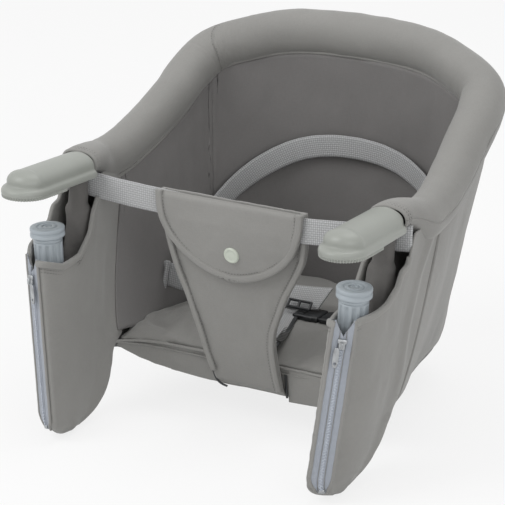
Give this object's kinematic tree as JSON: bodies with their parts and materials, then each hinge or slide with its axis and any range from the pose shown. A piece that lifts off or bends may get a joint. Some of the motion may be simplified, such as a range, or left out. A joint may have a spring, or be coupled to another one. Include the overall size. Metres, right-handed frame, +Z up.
{
  "type": "hook-on table chair",
  "caption": "Folding table-edge seat: arms with screw clamps, fabric shell with a curved padded rim, crotch panel, waist belt and zipped pouches over the clamps.",
  "frame": {"origin": "midway between the arms, in the plane of the tabletop under their grip soles, level with the rear ends of the arm boots", "axes": "+Z up, +Y towards the chair's back, +X to the left of a child who sits in it; the arms point to -Y"},
  "size_m": [0.3914, 0.4142, 0.3525],
  "materials": {
    "frame_paint": "satin dark grey powder coat",
    "zinc": "bright zinc plate",
    "cover_fabric": "grey woven polyester",
    "lining_fabric": "darker grey woven polyester",
    "webbing": "light grey ribbed webbing",
    "boot_rubber": "matt light grey",
    "clamp_plastic": "fine satin grey",
    "pad_rubber": "matt grey",
    "black_plastic": "fine textured black",
    "base_plastic": "matt grey",
    "zip_fabric": "light grey zip tape",
    "snap_plastic": "pale grey-green"
  },
  "bodies": {
    "frame": {"side_frame_left": "frame_paint", "clamp_foot_left": "frame_paint", "spindle_left": "zinc", "arm_boot_left": "boot_rubber", "grip_sole_left": "boot_rubber", "hinge_bracket_left": "frame_paint", "hinge_pin_left": "zinc", "hinge_cuff_left": "cover_fabric", "rail_bolt_left": "zinc", "clamp_pouch_left": "cover_fabric", "zip_tape_left": "zip_fabric", "side_frame_right": "frame_paint", "clamp_foot_right": "frame_paint", "spindle_right": "zinc", "arm_boot_right": "boot_rubber", "grip_sole_right": "boot_rubber", "hinge_bracket_right": "frame_paint", "hinge_pin_right": "zinc", "hinge_cuff_right": "cover_fabric", "rail_bolt_right": "zinc", "clamp_pouch_right": "cover_fabric", "zip_tape_right": "zip_fabric", "wall_cover": "cover_fabric", "lining_left": "lining_fabric", "lining_back": "lining_fabric", "lining_right": "lining_fabric", "seat_rail": "frame_paint", "front_rail": "frame_paint", "seat_board": "base_plastic", "board_screw_1": "zinc", "board_screw_2": "zinc", "seat_tray": "base_plastic", "front_band": "cover_fabric", "seat_cushion": "cover_fabric", "front_strap": "webbing", "crotch_panel": "cover_fabric", "snap_stud": "snap_plastic", "waist_belt": "webbing", "buckle_body": "black_plastic", "tri_glide": "black_plastic", "crotch_strap": "black_plastic"},
    "clamp_left": {"clamp_pad_left": "pad_rubber", "pad_screw_left": "clamp_plastic"},
    "nut_left": {"hand_nut_left": "clamp_plastic"},
    "zip_left": {"zip_slider_left": "zinc"},
    "pull_left": {"zip_pull_left": "zinc"},
    "clamp_right": {"clamp_pad_right": "pad_rubber", "pad_screw_right": "clamp_plastic"},
    "nut_right": {"hand_nut_right": "clamp_plastic"},
    "zip_right": {"zip_slider_right": "zinc"},
    "pull_right": {"zip_pull_right": "zinc"},
    "flap": {"crotch_flap": "cover_fabric", "snap_cap": "snap_plastic"},
    "tongue": {"buckle_tongue": "black_plastic"},
    "back": {"back_bow": "frame_paint", "bow_lug_left": "frame_paint", "bow_lug_right": "frame_paint", "rim_bolster": "cover_fabric"}
  },
  "joints": [
    {"name": "clamp_lift_left", "type": "slide", "parent": "frame", "child": "clamp_left", "axis": [-0.0436, 0, 0.999], "range_m": [-0.03, 0.018]},
    {"name": "nut_spin_left", "type": "hinge", "parent": "clamp_left", "child": "nut_left", "pos_m": [-0.16242, -0.057, -0.06892], "axis": [-0.0436, 0, 0.999], "range_deg": [-1800, 1080]},
    {"name": "zip_slide_left", "type": "slide", "parent": "frame", "child": "zip_left", "axis": [0.1118, -0.0712, -0.9912], "range_m": [0, 0.13]},
    {"name": "pull_swing_left", "type": "hinge", "parent": "zip_left", "child": "pull_left", "pos_m": [-0.16299, -0.08767, -0.085], "axis": [-1, 0, 0], "range_deg": [0, 165]},
    {"name": "clamp_lift_right", "type": "slide", "parent": "frame", "child": "clamp_right", "axis": [0.0436, 0, 0.999], "range_m": [-0.03, 0.018]},
    {"name": "nut_spin_right", "type": "hinge", "parent": "clamp_right", "child": "nut_right", "pos_m": [0.16242, -0.057, -0.06892], "axis": [0.0436, 0, 0.999], "range_deg": [-1800, 1080]},
    {"name": "zip_slide_right", "type": "slide", "parent": "frame", "child": "zip_right", "axis": [-0.1118, -0.0712, -0.9912], "range_m": [0, 0.13]},
    {"name": "pull_swing_right", "type": "hinge", "parent": "zip_right", "child": "pull_right", "pos_m": [0.16299, -0.08767, -0.085], "axis": [-1, 0, 0], "range_deg": [0, 165]},
    {"name": "flap_swing", "type": "hinge", "parent": "frame", "child": "flap", "pos_m": [0, 0.005, -0.0024], "axis": [-1, 0, 0], "range_deg": [0, 150]},
    {"name": "buckle_release", "type": "slide", "parent": "frame", "child": "tongue", "axis": [1, 0, 0], "range_m": [0, 0.028], "deforming": ["waist_belt"]},
    {"name": "back_fold", "type": "hinge", "parent": "frame", "child": "back", "pos_m": [0, 0.021, 0], "axis": [1, 0, 0], "range_deg": [-45, 0], "deforming": ["wall_cover", "lining_left", "lining_back", "lining_right", "hinge_cuff_left", "hinge_cuff_right", "clamp_pouch_left", "clamp_pouch_right", "waist_belt"]}
  ],
  "couplings": [
    {"joint": "nut_spin_left", "follows": "clamp_lift_left", "rad_per_m": 1047.2},
    {"joint": "nut_spin_right", "follows": "clamp_lift_right", "rad_per_m": 1047.2}
  ]
}
